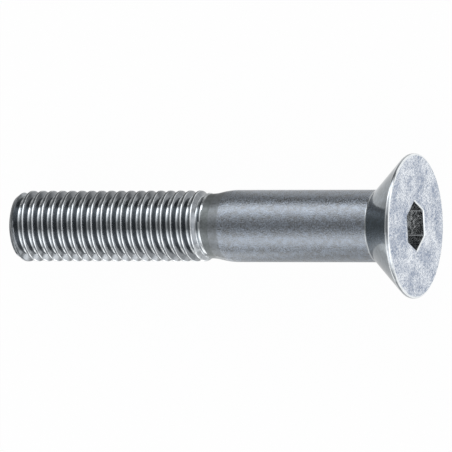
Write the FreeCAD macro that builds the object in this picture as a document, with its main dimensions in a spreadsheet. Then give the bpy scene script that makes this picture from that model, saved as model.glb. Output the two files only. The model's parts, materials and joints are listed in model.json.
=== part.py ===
import FreeCAD, Part

# Countersunk socket screw, metric, 10 mm thread and 60 mm long, lying as it comes to rest.
#
# The screw is one forged and rolled piece: a 90 degree countersunk head with a thin land round
# its rim, a hexagon socket, a plain shank, a neck at the width of the blank before rolling, and
# a threaded end with a chamfer. The thread is one right-hand helical groove between flat crests.
#
# The body's own X axis runs along the screw, from the middle of the head's face, which is the
# origin, to the thread end, and two of the socket's corners are on its Y axis. The body is then
# rolled about X and tipped about Y until the rim of the head and the thread end lie on one level,
# with +Z up. All sizes are in millimetres and degrees.
import os

import Sketcher

Vector = FreeCAD.Vector

SIZES = {
    "screw_length": 59.5,        # head face to thread end, 60 nominal
    "head_width": 20.0,          # across the rim of the head
    "rim_land": 0.5,             # height of the straight edge round the head
    "rim_break": 0.12,           # broken edges of that land
    "seat_angle": 90.0,          # whole angle of the countersunk seat
    "seat_break": 0.25,          # filled corner where the seat meets the shank
    "shank_width": 9.95,         # diameter of the plain shank
    "neck_width": 8.95,          # diameter of the blank that the thread was rolled on
    "neck_length": 1.2,          # straight part of the neck
    "taper_length": 2.4,         # from the neck up to the full shank
    "thread_width": 9.85,        # diameter over the crests
    "pitch": 1.5,                # from one crest to the next
    "crest_flat": 0.3,           # width of the crests along the screw
    "thread_angle": 60.0,        # whole angle between the flanks
    "thread_length": 28.5,       # thread end to the neck
    "runout_length": 0.8,        # crests falling away to the neck
    "end_width": 8.65,           # diameter of the flat end, inside its chamfer
    "end_chamfer": 0.6,          # length of that chamfer along the screw
    "socket_width": 6.0,         # hexagon, across its flats
    "socket_depth": 4.4,         # face to the end of the flats
    "socket_round": 0.2,         # radius in the hexagon's six corners
    "socket_end_angle": 120.0,   # whole angle of the socket's pressed end
    "mouth_chamfer": 0.15,       # broken edge round the socket's mouth
    "roll": -8.0,                # the screw's turn about its own axis as it lies
}

doc = FreeCAD.newDocument("CountersunkSocketScrew")
sheet = doc.addObject("Spreadsheet::Sheet", "Sizes")
for row, (alias, size) in enumerate(SIZES.items(), start=1):
    sheet.set(f"A{row}", alias)
    sheet.set(f"B{row}", str(size))
    sheet.setAlias(f"B{row}", alias)
doc.recompute()

# Half widths, and places along the axis measured from the head's face
HEAD_HALF = "Sizes.head_width / 2"
SHANK_HALF = "Sizes.shank_width / 2"
NECK_HALF = "Sizes.neck_width / 2"
THREAD_HALF = "Sizes.thread_width / 2"
END_HALF = "Sizes.end_width / 2"
SEAT_HALF_ANGLE = "Sizes.seat_angle / 2 * 1 deg"
SEAT_END = f"Sizes.rim_land + ({HEAD_HALF} - {SHANK_HALF}) / tan({SEAT_HALF_ANGLE})"
NECK_END = "Sizes.screw_length - Sizes.thread_length"
NECK_START = f"{NECK_END} - Sizes.neck_length"
TAPER_START = f"{NECK_START} - Sizes.taper_length"
CREST_START = f"{NECK_END} + Sizes.runout_length"
CHAMFER_START = "Sizes.screw_length - Sizes.end_chamfer"
LIE_ANGLE = f"atan(({HEAD_HALF} - {THREAD_HALF}) / ({CHAMFER_START} - Sizes.rim_land))"

# The groove between the crests, with a cutter that stands a tenth of a pitch proud of them
GROOVE_START = f"{CREST_START} + Sizes.pitch * 0.47"
GROOVE_TURNS = f"ceil((Sizes.screw_length - ({GROOVE_START})) / Sizes.pitch + 0.5)"
GROOVE_SLOPE = "tan(Sizes.thread_angle / 2 * 1 deg)"
GROOVE_ROOT = f"{THREAD_HALF} - (Sizes.pitch - Sizes.crest_flat) / 2 / {GROOVE_SLOPE}"
GROOVE_TOP = f"{THREAD_HALF} + Sizes.pitch / 10"
GROOVE_HALF = f"(({GROOVE_TOP}) - ({GROOVE_ROOT})) * {GROOVE_SLOPE}"


def value(expression):
    """The number that an expression gives with the sheet's sizes."""
    return float(sheet.evalExpression(expression))


def origin_plane(body, role):
    """One of the body's own origin planes."""
    return next(item for item in body.Origin.OriginFeatures if item.Role == role)


def closed_outline(body, name, role, corners):
    """A sketch of straight lines whose corners stay at expressions of the sheet's sizes."""
    sketch = body.newObject("Sketcher::SketchObject", name)
    sketch.AttachmentSupport = [(origin_plane(body, role), "")]
    sketch.MapMode = "FlatFace"
    spots = [Vector(value(along), value(out), 0) for along, out in corners]
    sides = zip(spots, spots[1:] + spots[:1])
    sketch.addGeometry([Part.LineSegment(start, end) for start, end in sides], False)
    for i, (along, out) in enumerate(corners):
        following = (i + 1) % len(corners)
        sketch.addConstraint(Sketcher.Constraint("Coincident", i, 2, following, 1))
        for kind, axis, place in (("DistanceX", -2, along), ("DistanceY", -1, out)):
            if place == "0":
                sketch.addConstraint(Sketcher.Constraint("PointOnObject", i, 1, axis))
            else:
                bound = Sketcher.Constraint(kind, -1, 1, i, 1, value(place))
                index = sketch.addConstraint(bound)
                sketch.setExpression(f"Constraints[{index}]", place)
    return sketch


def edges_where(feature, wanted):
    """Names of the edges of a feature's shape that pass a test."""
    return [f"Edge{i}" for i, edge in enumerate(feature.Shape.Edges, start=1) if wanted(edge)]


def is_ring(edge, half_width, place):
    """True for a whole circle round the screw's axis, of one half width and at one place."""
    curve = edge.Curve
    if curve.TypeId != "Part::GeomCircle":
        return False
    same_size = abs(curve.Radius - half_width) < 1e-4
    return same_size and abs(curve.Center.x - place) < 1e-4


def on_edges(body, kind, name, base, edges, size):
    """A fillet or chamfer of one of the sheet's sizes on edges of the feature before it."""
    feature = body.newObject(f"PartDesign::{kind}", name)
    feature.Base = (base, edges)
    feature.setExpression("Radius" if kind == "Fillet" else "Size", size)
    doc.recompute()
    return feature


def turned_blank(body):
    """Head, shank, neck and threaded end as one turned shape, with its edges broken."""
    profile = closed_outline(body, "BlankProfile", "XZ_Plane", [
        ("0", "0"),
        ("0", HEAD_HALF),
        ("Sizes.rim_land", HEAD_HALF),
        (SEAT_END, SHANK_HALF),
        (TAPER_START, SHANK_HALF),
        (NECK_START, NECK_HALF),
        (NECK_END, NECK_HALF),
        (CREST_START, THREAD_HALF),
        (CHAMFER_START, THREAD_HALF),
        ("Sizes.screw_length", END_HALF),
        ("Sizes.screw_length", "0"),
    ])
    blank = body.newObject("PartDesign::Revolution", "Blank")
    blank.Profile = (profile, [""])
    blank.ReferenceAxis = (profile, ["H_Axis"])
    blank.Angle = 360
    doc.recompute()

    head_half = value(HEAD_HALF)
    land_edges = edges_where(blank, lambda edge: is_ring(edge, head_half, 0)
                             or is_ring(edge, head_half, value("Sizes.rim_land")))
    rim = on_edges(body, "Chamfer", "RimBreak", blank, land_edges, "Sizes.rim_break")
    seat_edge = edges_where(rim, lambda edge: is_ring(edge, value(SHANK_HALF), value(SEAT_END)))
    return on_edges(body, "Chamfer", "SeatBreak", rim, seat_edge, "Sizes.seat_break")


def rolled_thread(body):
    """The right-hand thread, as one helical groove from the runout past the thread end."""
    outline = closed_outline(body, "GrooveProfile", "XZ_Plane", [
        (GROOVE_START, GROOVE_ROOT),
        (f"{GROOVE_START} + {GROOVE_HALF}", GROOVE_TOP),
        (f"{GROOVE_START} - {GROOVE_HALF}", GROOVE_TOP),
    ])
    groove = body.newObject("PartDesign::SubtractiveHelix", "Groove")
    groove.Profile = (outline, [""])
    groove.ReferenceAxis = (outline, ["H_Axis"])
    groove.Mode = 0
    groove.setExpression("Pitch", "Sizes.pitch")
    groove.setExpression("Height", f"{GROOVE_TURNS} * Sizes.pitch")
    groove.LeftHanded = False
    doc.recompute()
    return groove


def pressed_socket(body):
    """The hexagon socket with its rounded corners, conical end and broken mouth."""
    face = [(origin_plane(body, "YZ_Plane"), "")]

    hexagon = body.newObject("PartDesign::SubtractivePrism", "Hexagon")
    hexagon.AttachmentSupport = face
    hexagon.MapMode = "FlatFace"
    hexagon.Polygon = 6
    hexagon.setExpression("Circumradius", "Sizes.socket_width / 2 / cos(30 deg)")
    hexagon.setExpression("Height", "Sizes.socket_depth")
    doc.recompute()

    depth = value("Sizes.socket_depth")
    corner_half = value("Sizes.socket_width / 2 / cos(30 deg)")

    def is_socket_corner(edge):
        ends = [vertex.Point for vertex in edge.Vertexes]
        if len(ends) != 2 or abs(edge.Length - depth) > 1e-4:
            return False
        return all(abs((point.y ** 2 + point.z ** 2) ** 0.5 - corner_half) < 1e-4 for point in ends)

    corners = on_edges(body, "Fillet", "SocketCorners", hexagon,
                       edges_where(hexagon, is_socket_corner), "Sizes.socket_round")

    def is_mouth(edge):
        box = edge.BoundBox
        reach = max(abs(box.YMin), abs(box.YMax), abs(box.ZMin), abs(box.ZMax))
        return box.XMax < 1e-4 and reach < corner_half + 1e-4

    on_edges(body, "Chamfer", "SocketMouth", corners, edges_where(corners, is_mouth),
             "Sizes.mouth_chamfer")

    end = body.newObject("PartDesign::SubtractiveCone", "SocketEnd")
    end.AttachmentSupport = face
    end.MapMode = "FlatFace"
    end.setExpression("AttachmentOffset.Base.z", "Sizes.socket_depth")
    end.setExpression("Radius1", "Sizes.socket_width / 2")
    end.Radius2 = 0
    end.setExpression(
        "Height", "Sizes.socket_width / 2 / tan(Sizes.socket_end_angle / 2 * 1 deg)")
    doc.recompute()
    return end


screw = doc.addObject("PartDesign::Body", "Screw")
screw.Label = "countersunk_socket_screw"
turned_blank(screw)
pressed_socket(screw)
screw.Tip = rolled_thread(screw)

# The screw is rolled, and lies on the rim of its head and the thread's end
tipped = f"rotation(vector(0; 1; 0); {LIE_ANGLE})"
rolled = "rotation(vector(1; 0; 0); Sizes.roll * 1 deg)"
screw.setExpression("Placement", f"placement(vector(0; 0; 0); {tipped} * {rolled})")
doc.recompute()

for item in doc.Objects:
    if "Invalid" in item.State or "Error" in item.State:
        raise RuntimeError(f"{item.Name} failed: {item.State}")
solid = screw.Shape
if solid.isNull() or not solid.isValid() or len(solid.Solids) != 1:
    raise RuntimeError("the screw isn't one valid solid")

box = solid.optimalBoundingBox(False)
print(f"lies at {value(LIE_ANGLE):.3f} degrees, volume {solid.Volume:.1f} cubic mm")
print(f"box {box.XLength:.2f} by {box.YLength:.2f} by {box.ZLength:.2f} mm")

os.makedirs("parts", exist_ok=True)
solid.exportStep(f"parts/{screw.Label}.step")
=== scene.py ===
# %% [markdown]
# # A countersunk socket screw
#
# The object is one steel screw, 60 mm long, with a 10 mm thread: a flat countersunk head with a
# hexagon socket, a plain shank, a narrow neck and a rolled thread, all in bright zinc plating.
# It lies on the rim of its head and the end of its thread.
#
# We load the imported model first. It gives the tilt, the floor's height and the width of the
# shank. The other sizes repeat those of the imported part, and what is finer is added here.

# %% Load the imported screw
import json
import math

import bmesh
import bpy
from mathutils import Matrix, Vector


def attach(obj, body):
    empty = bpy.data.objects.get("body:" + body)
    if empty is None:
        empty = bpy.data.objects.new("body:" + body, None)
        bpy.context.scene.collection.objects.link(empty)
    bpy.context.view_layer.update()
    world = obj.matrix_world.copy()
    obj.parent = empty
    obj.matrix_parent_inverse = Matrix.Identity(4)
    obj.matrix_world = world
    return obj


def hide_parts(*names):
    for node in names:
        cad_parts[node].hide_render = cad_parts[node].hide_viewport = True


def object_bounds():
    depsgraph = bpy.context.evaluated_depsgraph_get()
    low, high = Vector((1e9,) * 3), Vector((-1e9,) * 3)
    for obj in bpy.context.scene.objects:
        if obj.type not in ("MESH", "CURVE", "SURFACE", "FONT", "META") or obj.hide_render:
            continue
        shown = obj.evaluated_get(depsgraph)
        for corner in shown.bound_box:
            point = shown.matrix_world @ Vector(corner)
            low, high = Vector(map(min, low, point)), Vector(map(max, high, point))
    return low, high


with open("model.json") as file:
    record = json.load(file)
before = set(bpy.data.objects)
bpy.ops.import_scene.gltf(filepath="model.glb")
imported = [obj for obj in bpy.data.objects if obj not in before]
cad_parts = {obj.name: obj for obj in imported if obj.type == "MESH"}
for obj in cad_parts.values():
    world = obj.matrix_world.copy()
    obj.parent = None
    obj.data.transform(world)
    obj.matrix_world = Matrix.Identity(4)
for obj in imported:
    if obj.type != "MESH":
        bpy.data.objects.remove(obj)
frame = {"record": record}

NODE = "countersunk_socket_screw"
CAD_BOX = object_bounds()
MOUNTS = {mount["name"]: mount for mount in frame["record"]["mounts"]}
print("the screw's box in metres:", [[round(c, 4) for c in corner] for corner in CAD_BOX])

# %% [markdown]
# ## The screw's own axis
#
# A screw is easiest to model along one axis, as it would sit in a lathe. Here X runs along the
# screw, with 0 at the head's face. Only at the very end is the finished mesh tipped over, by the
# angle at which the real one lies. The mount of the plain shank holds that direction.

# %% Sizes along the axis
MM = 0.001
AXIS = Vector(MOUNTS["shank"]["axis"]).normalized()
TIP_OVER = Matrix.Rotation(math.atan2(-AXIS.z, AXIS.x), 4, "Y")

SCREW_LENGTH = 59.48 * MM    # a hair short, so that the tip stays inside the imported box
HEAD_RADIUS = 9.94 * MM
RIM_LAND = 0.5 * MM
SHANK_RADIUS = MOUNTS["shank"]["dims"]["r_mm"] * MM
CREST_RADIUS = 4.925 * MM
NECK_RADIUS = 4.475 * MM
SEAT_END = RIM_LAND + HEAD_RADIUS - SHANK_RADIUS
TAPER_START = 27.3 * MM
NECK_START = 29.7 * MM
THREAD_START = 30.2 * MM
AROUND = 96                  # steps round the screw
SAME = 0.001 * MM            # nearer than this, two places are one
print("the axis points to", [round(c, 4) for c in AXIS], "and the seat ends at", SEAT_END / MM, "mm")

# %% [markdown]
# ## The thread
#
# A real thread like this one isn't cut: the blank is rolled between two dies, and the metal rises
# into crests about as far as it sinks into roots. We take one pitch of that outline, five straight
# lines, and spin it once round the screw. With a small step forward at each step of the turn, spin
# makes a helix. Copies of that turn, each one pitch further on, then meet edge to edge.

# %% One pitch of the outline, spun through one turn
PITCH = 1.5 * MM
ROOT_RADIUS = 4.10 * MM
FLANK_ANGLE = math.radians(30)
CREST_FLAT = 0.29 * MM
CREST_AT = 56.90 * MM        # where a crest passes the +Y side
SPARE_TURNS = 4              # turns past that crest, cut to length later


def outline_from(bm, points):
    """A chain of edges through points given as (along, out), in the plane of the axis and +Y."""
    verts = [bm.verts.new((along, out, 0)) for along, out in points]
    return verts + [bm.edges.new(pair) for pair in zip(verts, verts[1:])]


crest_edge = CREST_FLAT / 2
root_edge = crest_edge + (CREST_RADIUS - ROOT_RADIUS) * math.tan(FLANK_ANGLE)
turns_back = math.ceil((CREST_AT - THREAD_START) / PITCH) + 1
turns = turns_back + SPARE_TURNS
first_crest = CREST_AT - turns_back * PITCH

screw = bmesh.new()
turn = outline_from(screw, [
    (first_crest - PITCH / 2, ROOT_RADIUS),
    (first_crest - root_edge, ROOT_RADIUS),
    (first_crest - crest_edge, CREST_RADIUS),
    (first_crest + crest_edge, CREST_RADIUS),
    (first_crest + root_edge, ROOT_RADIUS),
    (first_crest + PITCH / 2, ROOT_RADIUS),
])
bmesh.ops.spin(
    screw, geom=turn, cent=(0, 0, 0), axis=(1, 0, 0), dvec=(PITCH / AROUND, 0, 0),
    angle=math.tau, steps=AROUND, use_merge=False, use_duplicate=False)
turn = screw.verts[:] + screw.edges[:] + screw.faces[:]
for number in range(1, turns):
    copy = bmesh.ops.duplicate(screw, geom=turn)["geom"]
    copied = [item for item in copy if isinstance(item, bmesh.types.BMVert)]
    bmesh.ops.translate(screw, verts=copied, vec=(number * PITCH, 0, 0))
bmesh.ops.remove_doubles(screw, verts=screw.verts, dist=SAME)
print(turns, "turns of thread in", len(screw.faces), "faces")

# %% [markdown]
# Rolling leaves no knife edges, so the corners of crest and root are rounded. They are the only
# edges of the helix with a clear angle between their faces, which makes them easy to pick.

# %% Round the crests and roots
CLEAR_ANGLE = math.radians(20)
ROUNDINGS = (                # radius of the corner, width of its rounding, steps
    (CREST_RADIUS, 0.075 * MM, 3),
    (ROOT_RADIUS, 0.12 * MM, 5))

for radius, width, steps in ROUNDINGS:
    corners = [
        edge for edge in screw.edges if edge.calc_face_angle(0) > CLEAR_ANGLE
        and all(abs(math.hypot(v.co.y, v.co.z) - radius) < SAME for v in edge.verts)]
    bmesh.ops.bevel(
        screw, geom=corners, offset=width, offset_type="OFFSET", segments=steps, profile=0.5,
        affect="EDGES", clamp_overlap=True, material=-1)
    print(len(corners), "edges rounded, now", len(screw.faces), "faces")

# %% [markdown]
# ## The two ends of the thread
#
# Two cuts across the axis leave the exact length, and a third adds a ring where the tip's chamfer
# starts. At the neck the dies only touched the blank lightly, so the wave of the thread fades into
# the blank's own radius. At the tip the blank had a chamfer before it was rolled, so the crests
# there stay under a cone. Both are a small move of each vertex, straight in or out from the axis.

# %% Cut to length, fade at the neck, chamfer at the tip
FADE_START = 30.3 * MM
FADE_END = 31.7 * MM
TIP_RADIUS = 4.33 * MM
TIP_CHAMFER = 0.9 * MM
ON_CUT = 0.0001 * MM         # vertices this near a cut count as on it


def eased(place, start, end):
    """0 before start, 1 after end, and a soft step between them."""
    share = min(max((place - start) / (end - start), 0.0), 1.0)
    return share * share * (3.0 - 2.0 * share)


for end, side in (
        (THREAD_START, "clear_inner"), (SCREW_LENGTH - TIP_CHAMFER, None),
        (SCREW_LENGTH, "clear_outer")):
    bmesh.ops.bisect_plane(
        screw, geom=screw.verts[:] + screw.edges[:] + screw.faces[:], dist=ON_CUT,
        plane_co=(end, 0, 0), plane_no=(1, 0, 0),
        clear_inner=side == "clear_inner", clear_outer=side == "clear_outer")
for vert in screw.verts:
    out = math.hypot(vert.co.y, vert.co.z)
    wanted = NECK_RADIUS + (out - NECK_RADIUS) * eased(vert.co.x, FADE_START, FADE_END)
    into_tip = max(vert.co.x - (SCREW_LENGTH - TIP_CHAMFER), 0.0) / TIP_CHAMFER
    wanted = min(wanted, CREST_RADIUS - into_tip * (CREST_RADIUS - TIP_RADIUS))
    vert.co.y *= wanted / out
    vert.co.z *= wanted / out
thread_end = max(vert.co.x for vert in screw.verts)
print("the thread runs from", THREAD_START / MM, "to", round(thread_end / MM, 2), "mm")

# %% [markdown]
# ## Head, shank and neck
#
# The rest of the blank is a body of revolution. We draw half of its outline with sharp corners,
# spin it once round with the start and the end of the spin merged, and round the rings afterwards.
# A bevel on a ring makes the arc, so the outline itself stays short. Two more rings, on the shank
# and on the head's face, keep the faces beside the roundings small.

# %% Spin the blank and round its rings
NECK_BLEND = 0.5 * MM
TAPER_BLEND = 0.8 * MM
SEAT_FILLET = 0.4 * MM
RIM_ROUND = 0.25 * MM
NECK_GAP = 0.2 * MM          # left open before the thread and bridged later
SHANK_RING = 1.0 * MM        # from the end of the seat
FACE_RING = 0.6 * MM         # from the rim
BEND_45 = math.tan(math.radians(22.5))    # width of a rounding over its radius, at a 45 degree bend


def ring_edges(bm, along, out):
    """The edges of the ring at one place along the axis and one radius."""
    def on_ring(vert):
        radius = math.hypot(vert.co.y, vert.co.z)
        return abs(vert.co.x - along) < 2 * SAME and abs(radius - out) < 2 * SAME
    return [edge for edge in bm.edges if all(on_ring(vert) for vert in edge.verts)]


def round_ring(bm, along, out, offset, segments):
    """Bevel one ring, with offset the width taken from each side."""
    edges = ring_edges(bm, along, out)
    bmesh.ops.bevel(
        bm, geom=edges, offset=offset, offset_type="OFFSET", segments=segments, profile=0.5,
        affect="EDGES", clamp_overlap=False, material=-1)
    return len(edges)


blank = bmesh.new()
half_outline = outline_from(blank, [
    (THREAD_START - NECK_GAP, NECK_RADIUS),
    (NECK_START, NECK_RADIUS),
    (TAPER_START, SHANK_RADIUS),
    (SEAT_END + SHANK_RING, SHANK_RADIUS),
    (SEAT_END, SHANK_RADIUS),
    (RIM_LAND, HEAD_RADIUS),
    (0.0, HEAD_RADIUS),
    (0.0, HEAD_RADIUS - FACE_RING),
])
bmesh.ops.spin(
    blank, geom=half_outline, cent=(0, 0, 0), axis=(1, 0, 0), dvec=(0, 0, 0),
    angle=math.tau, steps=AROUND, use_merge=True, use_duplicate=False)
rounded = [
    round_ring(blank, NECK_START, NECK_RADIUS, NECK_BLEND, 4),
    round_ring(blank, TAPER_START, SHANK_RADIUS, TAPER_BLEND, 4),
    round_ring(blank, SEAT_END, SHANK_RADIUS, SEAT_FILLET * BEND_45, 4),
    round_ring(blank, RIM_LAND, HEAD_RADIUS, RIM_ROUND * BEND_45, 2),
    round_ring(blank, 0.0, HEAD_RADIUS, RIM_ROUND, 4),
]
print("rings rounded, edges in each:", rounded)

# %% [markdown]
# ## The hexagon socket
#
# The socket is pressed into the head with a hexagonal punch. Its corners are slightly round, its
# mouth has a small broken edge, and below the flats the punch leaves a narrow ledge and a shallow
# cone. Each of these is one step: a circle of six segments, a bevel on its corners, and then
# extrusions and an inset, each a little narrower. The cone's last loop is merged into one point.

# %% Press the socket
SOCKET_WIDTH = 6.0 * MM
SOCKET_DEPTH = 4.4 * MM
SOCKET_ROUND = 0.2 * MM
SOCKET_TURN = math.radians(8)
MOUTH_CHAMFER = 0.15 * MM
SOCKET_LEDGE = 0.12 * MM
SOCKET_END_ANGLE = math.radians(120)
CONE_END = 0.1               # share of the width at which the cone is merged
HEX_HALF = math.radians(30)  # half of what one side of a hexagon spans


def pushed_in(bm, face, depth, scale):
    """Extrude a face along the axis to a depth, scaling it about the axis."""
    made = bmesh.ops.extrude_face_region(bm, geom=[face])["geom"]
    verts = [item for item in made if isinstance(item, bmesh.types.BMVert)]
    for vert in verts:
        vert.co = (depth, vert.co.y * scale, vert.co.z * scale)
    bmesh.ops.delete(bm, geom=[face], context="FACES_ONLY")
    return next(item for item in made if isinstance(item, bmesh.types.BMFace))


socket = bmesh.new()
mouth_width = SOCKET_WIDTH + 2 * MOUTH_CHAMFER
bmesh.ops.create_circle(
    socket, cap_ends=True, segments=6, radius=mouth_width / 2 / math.cos(HEX_HALF),
    matrix=Matrix.Rotation(math.pi / 2, 4, "Y"))
bmesh.ops.bevel(
    socket, geom=socket.verts[:], offset=SOCKET_ROUND * math.tan(HEX_HALF),
    offset_type="OFFSET", segments=4, profile=0.5, affect="VERTICES", material=-1)
mouth = socket.faces[:][0]
punch = pushed_in(socket, mouth, MOUTH_CHAMFER, SOCKET_WIDTH / mouth_width)
punch = pushed_in(socket, punch, SOCKET_DEPTH, 1.0)
bmesh.ops.inset_region(socket, faces=[punch], thickness=SOCKET_LEDGE)
cone_depth = SOCKET_WIDTH / 2 / math.tan(SOCKET_END_ANGLE / 2)
punch = pushed_in(socket, punch, SOCKET_DEPTH + cone_depth, CONE_END)
bmesh.ops.pointmerge(socket, verts=punch.verts[:], merge_co=(SOCKET_DEPTH + cone_depth, 0, 0))
bmesh.ops.rotate(
    socket, verts=socket.verts, cent=(0, 0, 0), matrix=Matrix.Rotation(-SOCKET_TURN, 3, "X"))
socket_end = max(vert.co.x for vert in socket.verts)
print("socket", round(socket_end / MM, 2), "mm deep in", len(socket.faces), "faces")

# %% [markdown]
# ## One closed skin
#
# So far there are three open shells: the threaded end, the blank and the socket. They are put in
# one mesh. A bridge joins two open loops across the neck, triangles fill the flat face of the head
# between the rim and the socket's mouth, and one face closes the end of the thread. A closed mesh
# is what a real part is, and its faces can then be turned outwards by one operator.

# %% Join the shells
NEARBY = 1.0 * MM            # how far to each side of a place open edges are looked for

for shell in (blank, socket):
    part = bpy.data.meshes.new("shell")
    shell.to_mesh(part)
    shell.free()
    screw.from_mesh(part)
    bpy.data.meshes.remove(part)


def open_edges(bm, along):
    """Open edges whose middle lies near a place along the axis."""
    found = [edge for edge in bm.edges if edge.is_boundary]
    middles = [(edge.verts[0].co.x + edge.verts[1].co.x) / 2 for edge in found]
    return [edge for edge, middle in zip(found, middles) if abs(middle - along) < NEARBY]


bmesh.ops.bridge_loops(screw, edges=open_edges(screw, THREAD_START))
head_face = bmesh.ops.triangle_fill(
    screw, edges=open_edges(screw, 0.0), use_beauty=True)["geom"]
end_face = bmesh.ops.contextual_create(screw, geom=open_edges(screw, SCREW_LENGTH))["faces"]
bmesh.ops.recalc_face_normals(screw, faces=screw.faces)
print("open edges left:", sum(not edge.is_manifold for edge in screw.edges),
      "faces on the head:", len(head_face), "end faces:", len(end_face))
print("volume in cubic mm:", round(screw.calc_volume(signed=True) / MM ** 3, 1))

# %% [markdown]
# ## Which finish lies where
#
# The whole screw had one bath of zinc, yet it doesn't look the same all over. The head's face was
# struck flat and is grainy, the shank is satin, and the dies have polished the thread. We give each
# of these its own finish. Some rows are painted light, given to faces by the way they look: bright
# tints for rounded edges, the rim's land and lit flanks, the roots and the socket's corners are
# painted highlights, and the dark tint for flanks that look away from the head is painted shade.
# All share one effect and differ in tint, roughness and grain. This table comes first, because the
# faces are sorted by its names. Tints are what the metal mirrors back.
# Clouds and grains are how many there are in a metre, and speckle is how much the grains count
# beside the clouds. Rough has the lowest and highest roughness, and depth is that of a grain, in mm.

# %% The finishes
FINISHES = {
    "shank_zinc": {
        "dark": (0.25, 0.258, 0.265), "light": (0.375, 0.42, 0.485), "clouds": 1300, "grains": 5600,
        "rough": (0.10, 0.50), "depth": 0.03, "speckle": 0.55},
    "seat_zinc": {
        "dark": (0.215, 0.24, 0.255), "light": (0.30, 0.34, 0.375), "clouds": 1500, "grains": 4500,
        "rough": (0.05, 0.10), "depth": 0.003, "speckle": 0.3},
    # the rim's land, and a painted highlight: a lighter tint for the fillet and flanks that look
    # towards the head
    "land_and_painted_highlight_zinc": {
        "dark": (0.42, 0.45, 0.47), "light": (0.58, 0.61, 0.64), "clouds": 1500, "grains": 4000,
        "rough": (0.10, 0.18), "depth": 0.004, "speckle": 0.3},
    "face_zinc": {
        "dark": (0.20, 0.26, 0.38), "light": (0.90, 0.94, 0.99), "clouds": 330, "grains": 4200,
        "rough": (0.10, 0.24), "depth": 0.12, "speckle": 0.5},
    # painted highlight: a bright tint for rounded edges that face the light
    "painted_highlight_zinc": {
        "dark": (0.76, 0.80, 0.82), "light": (0.92, 0.95, 0.97), "clouds": 1500, "grains": 4000,
        "rough": (0.08, 0.14), "depth": 0.003, "speckle": 0.3},
    "socket_zinc": {
        "dark": (0.16, 0.17, 0.18), "light": (0.95, 0.96, 0.96), "clouds": 900, "grains": 3000,
        "rough": (0.12, 0.35), "depth": 0.06, "speckle": 0.35},
    # painted highlight: a bright tint on the socket's corners, with a rough finish
    "corner_painted_highlight_zinc": {
        "dark": (0.70, 0.73, 0.74), "light": (0.95, 0.96, 0.97), "clouds": 1500, "grains": 4000,
        "rough": (0.45, 0.60), "depth": 0.004, "speckle": 0.3},
    "neck_zinc": {
        "dark": (0.17, 0.185, 0.185), "light": (0.25, 0.27, 0.275), "clouds": 1400, "grains": 4600,
        "rough": (0.30, 0.55), "depth": 0.012, "speckle": 0.4},
    "taper_zinc": {
        "dark": (0.205, 0.215, 0.22), "light": (0.30, 0.325, 0.35), "clouds": 1350, "grains": 5000,
        "rough": (0.20, 0.52), "depth": 0.02, "speckle": 0.5},
    # painted highlight: a bright tint for the roots of the thread
    "root_painted_highlight_zinc": {
        "dark": (0.68, 0.72, 0.74), "light": (0.80, 0.83, 0.85), "clouds": 1500, "grains": 4000,
        "rough": (0.06, 0.12), "depth": 0.003, "speckle": 0.3},
    "flank_zinc": {
        "dark": (0.25, 0.27, 0.29), "light": (0.35, 0.37, 0.39), "clouds": 1500, "grains": 4000,
        "rough": (0.12, 0.22), "depth": 0.004, "speckle": 0.3},
    # painted shade: a dark tint for flanks and crest sides that look away from the head
    "painted_shade_zinc": {
        "dark": (0.13, 0.145, 0.155), "light": (0.19, 0.205, 0.22), "clouds": 1500, "grains": 4000,
        "rough": (0.20, 0.30), "depth": 0.004, "speckle": 0.3},
}
print("finishes:", ", ".join(FINISHES))

# %% [markdown]
# A face knows where it lies along the axis, how far out, how large it is and which way it looks.
# That is enough to tell a flank from a crest or a flat of the socket from its rounded corner.
# Along the thread the wide faces are the flanks. The narrow ones belong to a crest or a root. Near
# the neck the flanks flatten out, and those that look towards the head get the land's painted
# highlight. Flanks that look away from the head, and the crests' far sides, get painted shade.
# Rounded edges get a painted highlight: the crests' lit sides, the rim and the mouth of the socket.
# The roots and the socket's corners get a painted highlight as well.

# %% Sort the faces by finish
WIDE_FACE = 0.1 * MM ** 2
STEEP = 0.8                 # how far a narrow face looks along the axis to count as a flank
STEEP_WIDE = 0.3            # the same for a wide face, as flanks flatten out near the neck
CREST_BAND = 0.07 * MM
CREST_LIT = -0.12           # how a crest's lit side looks, along the axis
# crests past this place get painted shade instead of the painted highlight
LAST_BRIGHT = SCREW_LENGTH - 1.2 * PITCH
THREAD_FINISH = THREAD_START + 0.2 * MM
NECK_FINISH = NECK_START - 0.55 * MM
TAPER_FINISH = TAPER_START + 0.4 * MM
LAND_EDGE = 0.08 * MM
LAND_LIT = 0.1              # the same for the edge between the rim's land and the seat
RIM_LIT = -0.3              # and for the rim of the head's face
FILLET_REACH = 0.2 * MM
FILLET_LIT = (0.1, 0.6)     # and for the fillet under the seat
SOCKET_REACH = 0.62 * SOCKET_WIDTH
CORNER_AREA = 0.1 * SOCKET_DEPTH * SOCKET_WIDTH
CORNER_DEPTH = 0.6 * SOCKET_DEPTH
HAIR = 0.01 * MM


def thread_finish(face, along, out):
    """The finish of a face of the thread, some faces painted highlight and some painted shade by the
    way they look.
    """
    steep = STEEP_WIDE if face.calc_area() > WIDE_FACE else STEEP
    if -STEEP < face.normal.x < -steep:
        return "land_and_painted_highlight_zinc"
    if abs(face.normal.x) > steep:
        return "flank_zinc" if face.normal.x < 0 else "painted_shade_zinc"
    if out > CREST_RADIUS - CREST_BAND:
        # a crest's lit side gets a painted highlight, its other side painted shade
        return "painted_highlight_zinc" if face.normal.x < CREST_LIT and along < LAST_BRIGHT else "painted_shade_zinc"
    return "root_painted_highlight_zinc" if along < SCREW_LENGTH - TIP_CHAMFER else "painted_shade_zinc"


def socket_finish(face, along):
    """The finish of a face inside the socket, with a painted highlight on its corners and mouth."""
    if face.calc_area() < CORNER_AREA and MOUTH_CHAMFER < along < CORNER_DEPTH:
        return "corner_painted_highlight_zinc"
    return "painted_highlight_zinc" if along < MOUTH_CHAMFER else "socket_zinc"


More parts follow.
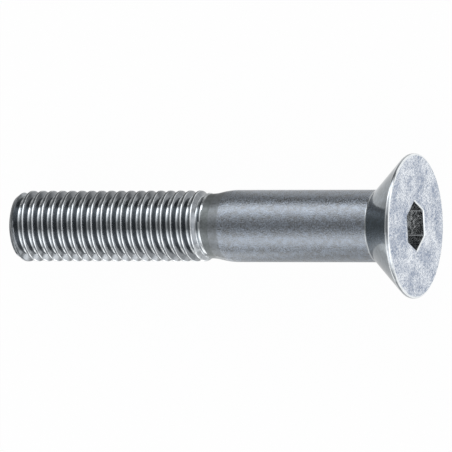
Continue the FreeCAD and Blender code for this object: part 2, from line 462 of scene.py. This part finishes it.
def finish_of(face):
    """Which finish a face has, from where it lies and the way it looks."""
    middle = face.calc_center_median()
    along, out = middle.x, math.hypot(middle.y, middle.z)
    if along > SCREW_LENGTH - HAIR:
        return "shank_zinc"
    if along > THREAD_FINISH:
        return thread_finish(face, along, out)
    if along > TAPER_FINISH:
        return "neck_zinc" if along > NECK_FINISH else "taper_zinc"
    if HAIR < along < SOCKET_DEPTH + cone_depth and out < SOCKET_REACH:
        return socket_finish(face, along)
    # the rounded rim and the land's edge get painted highlight by the way each face looks
    if along < RIM_ROUND and out > HEAD_RADIUS - RIM_ROUND:
        return "painted_highlight_zinc" if face.normal.x < RIM_LIT else "land_and_painted_highlight_zinc"
    if along < HAIR:
        return "face_zinc"
    if along < RIM_LAND + LAND_EDGE:
        return "painted_highlight_zinc" if face.normal.x > LAND_LIT else "land_and_painted_highlight_zinc"
    # painted highlight on the lit side of the fillet under the seat
    if abs(along - SEAT_END) < FILLET_REACH and FILLET_LIT[0] < face.normal.x < FILLET_LIT[1]:
        return "land_and_painted_highlight_zinc"
    return "seat_zinc" if along < SEAT_END else "shank_zinc"


names = list(FINISHES)
for face in screw.faces:
    face.smooth = True
    face.material_index = names.index(finish_of(face))
for number, name in enumerate(names):
    print(name, "has", sum(face.material_index == number for face in screw.faces), "faces")

# %% [markdown]
# ## The finished mesh
#
# Every face is smooth, except across edges that are sharp on the real screw. The wide faces next to
# a small rounding would still look bent, because a smooth normal is shared between neighbours. The
# Weighted Normal modifier lets the larger face decide, so flats stay flat right up to the rounding.
# The mesh is tipped over last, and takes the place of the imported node.

# %% Smooth it, tip it over and put it in place
SHARP_ANGLE = math.radians(32)

mesh = bpy.data.meshes.new("screw")
screw.to_mesh(mesh)
screw.free()
mesh.transform(TIP_OVER)
mesh.set_sharp_from_angle(angle=SHARP_ANGLE)
piece = bpy.data.objects.new("zinc_plated_screw", mesh)
bpy.context.scene.collection.objects.link(piece)
normals = piece.modifiers.new("flats stay flat", "WEIGHTED_NORMAL")
normals.keep_sharp = True
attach(piece, "root")
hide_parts(NODE)
mesh.calc_loop_triangles()
print("the screw has", len(mesh.loop_triangles), "triangles")

# %% [markdown]
# ## Small helpers for materials
#
# A material is a small tree of nodes, and most lines would only add a node or set a value. These
# helpers say such things once. The second makes a node that climbs softly from nothing to full
# while its value goes from one place to another. The third makes a ramp of light levels, and the
# last links the outputs of nodes to the inputs of others.

# %% Node helpers
def node(tree, kind, **values):
    """Add a node and set its properties, or its inputs where a name is one of theirs."""
    made = tree.nodes.new(kind)
    for name, value in values.items():
        if name in made.inputs:
            made.inputs[name].default_value = value
        else:
            setattr(made, name, value)
    return made


def climb(tree, start, end, top=1.0, kind="SMOOTHSTEP"):
    """A node that goes from 0 to top while its value goes from start to end."""
    made = node(tree, "ShaderNodeMapRange", interpolation_type=kind)
    for name, value in (("From Min", start), ("From Max", end), ("To Max", top)):
        made.inputs[name].default_value = value
    return made


def level_ramp(tree, stops, low, high, kind="LINEAR", tint=(1.0, 1.0, 1.0)):
    """A ramp of light levels, with stops as (place, level) for places from low to high."""
    made = node(tree, "ShaderNodeValToRGB")
    made.color_ramp.interpolation = kind
    points = made.color_ramp.elements
    while len(points) < len(stops):
        points.new(0.5)
    for point, (place, _) in zip(points, stops):
        point.position = (place - low) / (high - low)
    for point, (_, level) in zip(points, stops):
        point.color = (*(level * part for part in tint), 1)
    return made


def link(tree, *pairs):
    """Link each output to its input."""
    for start, end in pairs:
        tree.links.new(start, end)


# %% [markdown]
# ## The zinc effect
#
# Zinc settles in fine crystals of slightly different tint and polish, and a bath never leaves a
# quite even layer. Two noises stand for this: a large one for clouds, and a fine one for grains.
# Their mix chooses between a dark and a light tint, and the grains alone drive the roughness and a
# tiny bump. The effect is one node group, which every finish uses with its own values. Its
# coordinates are in metres, so the scales are grains per metre.

# %% The shared plating effect
CLOUD_CONTRAST = (0.38, 0.62)
GROUP_SOCKETS = (
    ("Position", "INPUT", "NodeSocketVector"), ("Dark Tint", "INPUT", "NodeSocketColor"),
    ("Light Tint", "INPUT", "NodeSocketColor"), ("Cloud Scale", "INPUT", "NodeSocketFloat"),
    ("Grain Scale", "INPUT", "NodeSocketFloat"), ("Smooth", "INPUT", "NodeSocketFloat"),
    ("Rough", "INPUT", "NodeSocketFloat"), ("Speckle", "INPUT", "NodeSocketFloat"),
    ("Tint", "OUTPUT", "NodeSocketColor"), ("Roughness", "OUTPUT", "NodeSocketFloat"),
    ("Grain", "OUTPUT", "NodeSocketFloat"))

plating = bpy.data.node_groups.new("zinc_plating", "ShaderNodeTree")
for name, direction, kind in GROUP_SOCKETS:
    plating.interface.new_socket(name, in_out=direction, socket_type=kind)
given = node(plating, "NodeGroupInput").outputs
result = node(plating, "NodeGroupOutput").inputs
cloud = node(plating, "ShaderNodeTexNoise", Detail=3.0, Roughness=0.65)
grain = node(plating, "ShaderNodeTexNoise", Detail=1.0, Roughness=0.5)
both = node(plating, "ShaderNodeMix", data_type="FLOAT")
spread = climb(plating, *CLOUD_CONTRAST, kind="LINEAR")
tint = node(plating, "ShaderNodeMix", data_type="RGBA")
polish = node(plating, "ShaderNodeMix", data_type="FLOAT")
link(
    plating,
    (given["Position"], cloud.inputs["Vector"]),
    (given["Cloud Scale"], cloud.inputs["Scale"]),
    (given["Position"], grain.inputs["Vector"]),
    (given["Grain Scale"], grain.inputs["Scale"]),
    (given["Speckle"], both.inputs["Factor"]),
    (cloud.outputs["Fac"], both.inputs["A"]),
    (grain.outputs["Fac"], both.inputs["B"]),
    (both.outputs["Result"], spread.inputs["Value"]),
    (spread.outputs["Result"], tint.inputs["Factor"]),
    (given["Dark Tint"], tint.inputs["A"]),
    (given["Light Tint"], tint.inputs["B"]),
    (grain.outputs["Fac"], polish.inputs["Factor"]),
    (given["Smooth"], polish.inputs["A"]),
    (given["Rough"], polish.inputs["B"]),
    (tint.outputs["Result"], result["Tint"]),
    (polish.outputs["Result"], result["Roughness"]),
    (grain.outputs["Fac"], result["Grain"]))
print("the effect has", len(plating.nodes), "nodes")

# %% [markdown]
# Each finish is then a short material: the effect feeds the colour, roughness and normal of one
# metal shader. The order of the table is the order of the slots that the faces were sorted into.

# %% One material for each finish
def zinc(name, look):
    """A zinc finish from the shared effect, with the values of one row of the table."""
    made = bpy.data.materials.new(name)
    made.use_nodes = True
    tree = made.node_tree
    tree.nodes.clear()
    place = node(tree, "ShaderNodeTexCoord")
    effect = node(tree, "ShaderNodeGroup", node_tree=plating)
    values = (
        ("Dark Tint", (*look["dark"], 1)), ("Light Tint", (*look["light"], 1)),
        ("Cloud Scale", look["clouds"]), ("Grain Scale", look["grains"]),
        ("Smooth", look["rough"][0]), ("Rough", look["rough"][1]), ("Speckle", look["speckle"]))
    for label, value in values:
        effect.inputs[label].default_value = value
    bump = node(tree, "ShaderNodeBump", Strength=1.0, Distance=look["depth"] * MM)
    shader = node(tree, "ShaderNodeBsdfPrincipled", Metallic=1.0)
    out = node(tree, "ShaderNodeOutputMaterial")
    link(
        tree,
        (place.outputs["Object"], effect.inputs["Position"]),
        (effect.outputs["Tint"], shader.inputs["Base Color"]),
        (effect.outputs["Roughness"], shader.inputs["Roughness"]),
        (effect.outputs["Grain"], bump.inputs["Height"]),
        (bump.outputs["Normal"], shader.inputs["Normal"]),
        (shader.outputs["BSDF"], out.inputs["Surface"]))
    return made


for name, look in FINISHES.items():
    mesh.materials.append(zinc(name, look))
print("materials on the screw:", len(mesh.materials))

# %% [markdown]
# ## A white floor
#
# The screw lies on a large sheet of white paper. The sheet is one flat face at the lowest point of
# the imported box, wide enough to fill the picture from every side. It is a stage, not a part.

# %% The sheet
SHEET_HALF = 3.0

sheet = bmesh.new()
bmesh.ops.create_grid(sheet, x_segments=1, y_segments=1, size=SHEET_HALF)
bmesh.ops.translate(sheet, verts=sheet.verts, vec=(0, 0, CAD_BOX[0][2]))
sheet_mesh = bpy.data.meshes.new("floor")
sheet.to_mesh(sheet_mesh)
sheet.free()
floor = bpy.data.objects.new("floor", sheet_mesh)
bpy.context.scene.collection.objects.link(floor)
print("the sheet lies at", round(CAD_BOX[0][2] / MM, 2), "mm")

# %% [markdown]
# Bright metal has hardly any look of its own. What we see on it is its surroundings, and the paper
# is most of them. In a studio, dark and white cards would lie beside a screw to draw soft bands on
# it. Here no cards lie there: the paper glows with painted bands that only the metal's reflections
# see, a painted reflection. One profile lies beside the shank and another, with a painted white card
# and a painted dark gap, beside the thread. Before the head's face the painted glow is bright all
# over. The camera sees the paper almost plain white, with a trace of shadow, and all other light
# sees ordinary matt paper, which keeps the bounce natural.

# %% The sheet's material
PAPER = (0.85, 0.85, 0.86, 1)
SEEN_WHITE = 0.975
REACH = 80                  # mm to each side of the screw that the two profiles cover
# painted reflection: levels the paper glows with for glossy rays only
PAINTED_BANDS_BY_SHANK = [                # mm across, level
    (-50, 0.36), (-28, 0.70), (-12, 0.74), (-4, 1.0), (3, 0.70), (15, 0.74), (35, 0.60), (78, 0.42)]
PAINTED_BANDS_BY_THREAD = [
    (-50, 0.26), (-20, 0.45), (-14, 0.28), (-10, 0.28), (-8, 0.62), (0, 0.70), (7, 0.5), (9.5, 1.9),
    (12, 1.9), (13.5, 0.35), (15.5, 0.35), (19, 1.3), (35, 1.3), (78, 0.8)]
TO_THREAD = (27 * MM, 35 * MM)    # where the first profile gives way to the second
TO_HEAD = (3 * MM, -1 * MM)       # where both give way to the level before the head
# painted reflection: the glow before the head's face
PAINTED_LEVEL_BEFORE_HEAD = 0.98

paper = bpy.data.materials.new("white_paper_with_painted_reflections")
paper.use_nodes = True
tree = paper.node_tree
tree.nodes.clear()
place = node(tree, "ShaderNodeTexCoord")
split = node(tree, "ShaderNodeSeparateXYZ")
across = climb(tree, -REACH * MM, REACH * MM, kind="LINEAR")
painted_bands_by_shank = level_ramp(tree, PAINTED_BANDS_BY_SHANK, -REACH, REACH)
painted_bands_by_thread = level_ramp(tree, PAINTED_BANDS_BY_THREAD, -REACH, REACH)
along_thread = climb(tree, *TO_THREAD)
beside = node(tree, "ShaderNodeMix", data_type="RGBA")
before_head = climb(tree, *TO_HEAD, top=PAINTED_LEVEL_BEFORE_HEAD)
level = node(tree, "ShaderNodeMath", operation="MAXIMUM")
ray = node(tree, "ShaderNodeLightPath").outputs
strength = node(tree, "ShaderNodeMix", data_type="FLOAT", A=1.0)
to_camera = node(tree, "ShaderNodeMath", operation="MULTIPLY")
to_camera.inputs[1].default_value = SEEN_WHITE
glows = node(tree, "ShaderNodeMath", operation="MAXIMUM")
matt = node(tree, "ShaderNodeBsdfDiffuse", Color=PAPER)
glow = node(tree, "ShaderNodeEmission")
blend = node(tree, "ShaderNodeMixShader")
out = node(tree, "ShaderNodeOutputMaterial")
link(
    tree,
    (place.outputs["Object"], split.inputs[0]),
    (split.outputs["Y"], across.inputs["Value"]),
    (across.outputs["Result"], painted_bands_by_shank.inputs["Fac"]),
    (across.outputs["Result"], painted_bands_by_thread.inputs["Fac"]),
    (split.outputs["X"], along_thread.inputs["Value"]),
    (along_thread.outputs["Result"], beside.inputs["Factor"]),
    (painted_bands_by_shank.outputs["Color"], beside.inputs["A"]),
    (painted_bands_by_thread.outputs["Color"], beside.inputs["B"]),
    (split.outputs["X"], before_head.inputs["Value"]),
    (before_head.outputs["Result"], level.inputs[0]),
    (beside.outputs["Result"], level.inputs[1]),
    # the painted levels glow only for glossy rays
    (ray["Is Glossy Ray"], strength.inputs["Factor"]),
    (level.outputs[0], strength.inputs["B"]),
    (strength.outputs["Result"], glow.inputs["Strength"]),
    (ray["Is Camera Ray"], to_camera.inputs[0]),
    (to_camera.outputs[0], glows.inputs[0]),
    (ray["Is Glossy Ray"], glows.inputs[1]),
    (glows.outputs[0], blend.inputs[0]),
    (matt.outputs[0], blend.inputs[1]),
    (glow.outputs[0], blend.inputs[2]),
    (blend.outputs[0], out.inputs["Surface"]))
sheet_mesh.materials.append(paper)
print("levels beside the shank:", len(PAINTED_BANDS_BY_SHANK), "and beside the thread:", len(PAINTED_BANDS_BY_THREAD))

# %% [markdown]
# ## The room
#
# Two long soft boxes hang over the screw, one to each side, with a dark strip between them. On a
# cylinder they turn into two bright bands with a dark line along the middle, which is what tells
# the eye that the metal is round. The room is a world that depends on the angle round the screw's
# own direction. A pale wall stands before the head, and the far end of the room is dim.

# %% Light all round
SOFT_BOXES = [              # degrees from straight up, level
    (-90, 0.10), (-80, 0.35), (-69, 1.85), (-56, 1.85), (-44, 1.1), (-26, 0.62), (-14, 0.29),
    (10, 0.24), (20, 0.60), (36, 1.15), (51, 1.5), (62, 1.3), (76, 0.8), (90, 0.35)]
COOL = (1.0, 1.01, 1.03)
FRONT_WALL = (1.3, 1.3, 1.32, 1)
TO_WALL = (-0.80, -0.93)    # how far a direction looks past the head, as the wall comes in
FAR_END = (0.31, 0.32, 0.31, 1)
TO_END = (0.78, 0.92)       # the same past the tip, for the far end

world = bpy.data.worlds.new("room")
bpy.context.scene.world = world
world.use_nodes = True
tree = world.node_tree
background = tree.nodes["Background"]
background.inputs["Strength"].default_value = 1.0
place = node(tree, "ShaderNodeTexCoord")
split = node(tree, "ShaderNodeSeparateXYZ")
around = node(tree, "ShaderNodeMath", operation="ARCTAN2")
share = climb(tree, -math.pi / 2, math.pi / 2, kind="LINEAR")
boxes = level_ramp(tree, SOFT_BOXES, -90, 90, kind="EASE", tint=COOL)
before_head = climb(tree, *TO_WALL)
with_wall = node(tree, "ShaderNodeMix", data_type="RGBA")
with_wall.inputs["B"].default_value = FRONT_WALL
past_tip = climb(tree, *TO_END)
with_end = node(tree, "ShaderNodeMix", data_type="RGBA")
with_end.inputs["B"].default_value = FAR_END
link(
    tree,
    (place.outputs["Generated"], split.inputs[0]),
    (split.outputs["Y"], around.inputs[0]),
    (split.outputs["Z"], around.inputs[1]),
    (around.outputs[0], share.inputs["Value"]),
    (share.outputs["Result"], boxes.inputs["Fac"]),
    (split.outputs["X"], before_head.inputs["Value"]),
    (before_head.outputs["Result"], with_wall.inputs["Factor"]),
    (boxes.outputs["Color"], with_wall.inputs["A"]),
    (split.outputs["X"], past_tip.inputs["Value"]),
    (past_tip.outputs["Result"], with_end.inputs["Factor"]),
    (with_wall.outputs["Result"], with_end.inputs["A"]),
    (with_end.outputs["Result"], background.inputs["Color"]))
print("the room has", len(SOFT_BOXES), "levels round the screw")

# %% [markdown]
# ## Camera
#
# The picture is taken from above with a long lens, so far away that lines hardly converge. The
# camera leans over towards the head, far enough to see its face as a narrow ellipse. It is turned
# so that the screw lies level in the picture, with the head on the right.

# %% Camera
LEAN = math.radians(71.4)   # of the line of sight, up from the floor
AIM_AT = TIP_OVER @ Vector((28.37 * MM, 0, 0))
DISTANCE = 1.2
LENS = 692.0
SENSOR = 36.0
NEAREST = 0.01              # metres before the camera that it starts to see

back = Vector((-math.cos(LEAN), 0, math.sin(LEAN)))
right = Vector((-math.sin(LEAN), 0, -math.cos(LEAN)))
up = Vector((0, -1, 0))
camera_data = bpy.data.cameras.new("camera")
camera_data.lens = LENS
camera_data.sensor_width = SENSOR
camera_data.clip_start = NEAREST
camera = bpy.data.objects.new("camera", camera_data)
bpy.context.scene.collection.objects.link(camera)
turned = Matrix((right, up, back)).transposed().to_4x4()
camera.matrix_world = Matrix.Translation(AIM_AT + back * DISTANCE) @ turned
bpy.context.scene.camera = camera
bpy.context.scene.view_settings.view_transform = "Standard"
print("the camera is at", [round(c, 3) for c in camera.matrix_world.translation])
